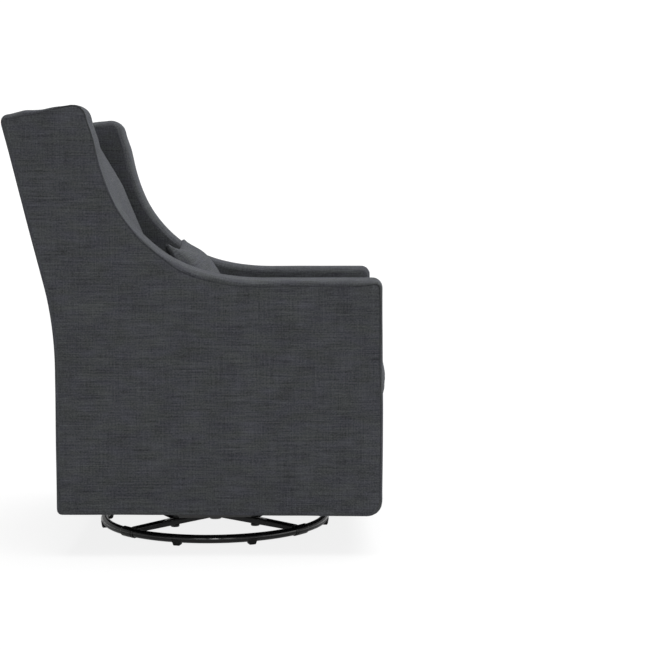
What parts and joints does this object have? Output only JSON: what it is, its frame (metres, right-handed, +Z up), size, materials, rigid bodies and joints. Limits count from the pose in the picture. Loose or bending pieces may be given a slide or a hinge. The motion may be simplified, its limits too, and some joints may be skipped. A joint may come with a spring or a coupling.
{
  "type": "swivel glider armchair",
  "caption": "Upholstered wing-back armchair hung on swinging glide links over a turning carrier and a round tube floor base, with a loose seat cushion and a lumbar pillow.",
  "frame": {"origin": "on the floor under the middle of the chair's outline", "axes": "+Z up, the sitter faces -Y, +X is the sitter's left and the normal of the plane of symmetry"},
  "size_m": [0.787, 0.8828, 1.0335],
  "materials": {
    "linen": "matte",
    "lining": "matte",
    "black_steel": "gloss",
    "zinc_steel": "satin",
    "timber": "matte",
    "nylon": "satin"
  },
  "bodies": {
    "base": {"ring_tube_front": "black_steel", "ring_tube_left": "black_steel", "ring_tube_rear": "black_steel", "ring_tube_right": "black_steel", "base_arm_front_left": "black_steel", "base_arm_rear_left": "black_steel", "base_arm_rear_right": "black_steel", "base_arm_front_right": "black_steel", "glide_foot_1": "nylon", "glide_foot_2": "nylon", "glide_foot_3": "nylon", "glide_foot_4": "nylon", "glide_foot_5": "nylon", "glide_foot_6": "nylon", "glide_foot_7": "nylon", "glide_foot_8": "nylon", "hub_boss": "black_steel", "swivel_pan": "black_steel", "arm_bolt_1": "black_steel", "arm_bolt_2": "black_steel", "arm_bolt_3": "black_steel", "arm_bolt_4": "black_steel", "king_bolt": "zinc_steel", "bearing_lower_race": "zinc_steel", "bearing_ball_cage": "zinc_steel"},
    "carrier": {"bearing_upper_race": "zinc_steel", "carrier_plate": "black_steel", "upright_left": "black_steel", "upright_right": "black_steel", "upper_pin_front_left": "zinc_steel", "upper_pin_front_right": "zinc_steel", "upper_pin_rear_left": "zinc_steel", "upper_pin_rear_right": "zinc_steel"},
    "front_links": {"link_front_left": "black_steel", "link_front_right": "black_steel"},
    "rear_links": {"link_rear_left": "black_steel", "link_rear_right": "black_steel"},
    "seat": {"hanger_left": "black_steel", "hanger_right": "black_steel", "hanger_bolt_front_left": "zinc_steel", "hanger_bolt_front_right": "zinc_steel", "hanger_bolt_rear_left": "zinc_steel", "hanger_bolt_rear_right": "zinc_steel", "seat_rail_front": "timber", "seat_rail_rear": "timber", "seat_rail_left": "timber", "seat_rail_right": "timber", "seat_spring_1": "zinc_steel", "seat_spring_2": "zinc_steel", "seat_spring_3": "zinc_steel", "seat_spring_4": "zinc_steel", "dust_cover": "lining", "side_casing_left": "linen", "side_casing_right": "linen", "outside_back": "linen", "inside_back": "linen", "front_rail_cover": "linen", "seat_deck": "linen"},
    "cushion": {"seat_cushion": "linen"},
    "pillow": {"lumbar_pillow": "linen"}
  },
  "joints": [
    {"name": "swivel", "type": "hinge", "parent": "base", "child": "carrier", "pos_m": [0, -0.012, 0.042], "axis": [0, 0, 1], "continuous": true},
    {"name": "glide", "type": "hinge", "parent": "carrier", "child": "front_links", "pos_m": [0, -0.112, 0.232], "axis": [1, 0, 0], "range_deg": [-28, 28]},
    {"name": "rear_link_swing", "type": "hinge", "parent": "carrier", "child": "rear_links", "pos_m": [0, 0.088, 0.232], "axis": [1, 0, 0], "range_deg": [-28, 28]},
    {"name": "seat_level", "type": "hinge", "parent": "front_links", "child": "seat", "pos_m": [0, -0.112, 0.122], "axis": [1, 0, 0], "range_deg": [-28, 28]},
    {"name": "cushion_lift", "type": "slide", "parent": "seat", "child": "cushion", "axis": [0, 0, 1], "range_m": [0, 0.25]},
    {"name": "pillow_lift", "type": "slide", "parent": "cushion", "child": "pillow", "axis": [0, 0, 1], "range_m": [0, 0.25]}
  ],
  "couplings": [
    {"joint": "rear_link_swing", "follows": "glide", "ratio": 1},
    {"joint": "seat_level", "follows": "glide", "ratio": -1}
  ]
}
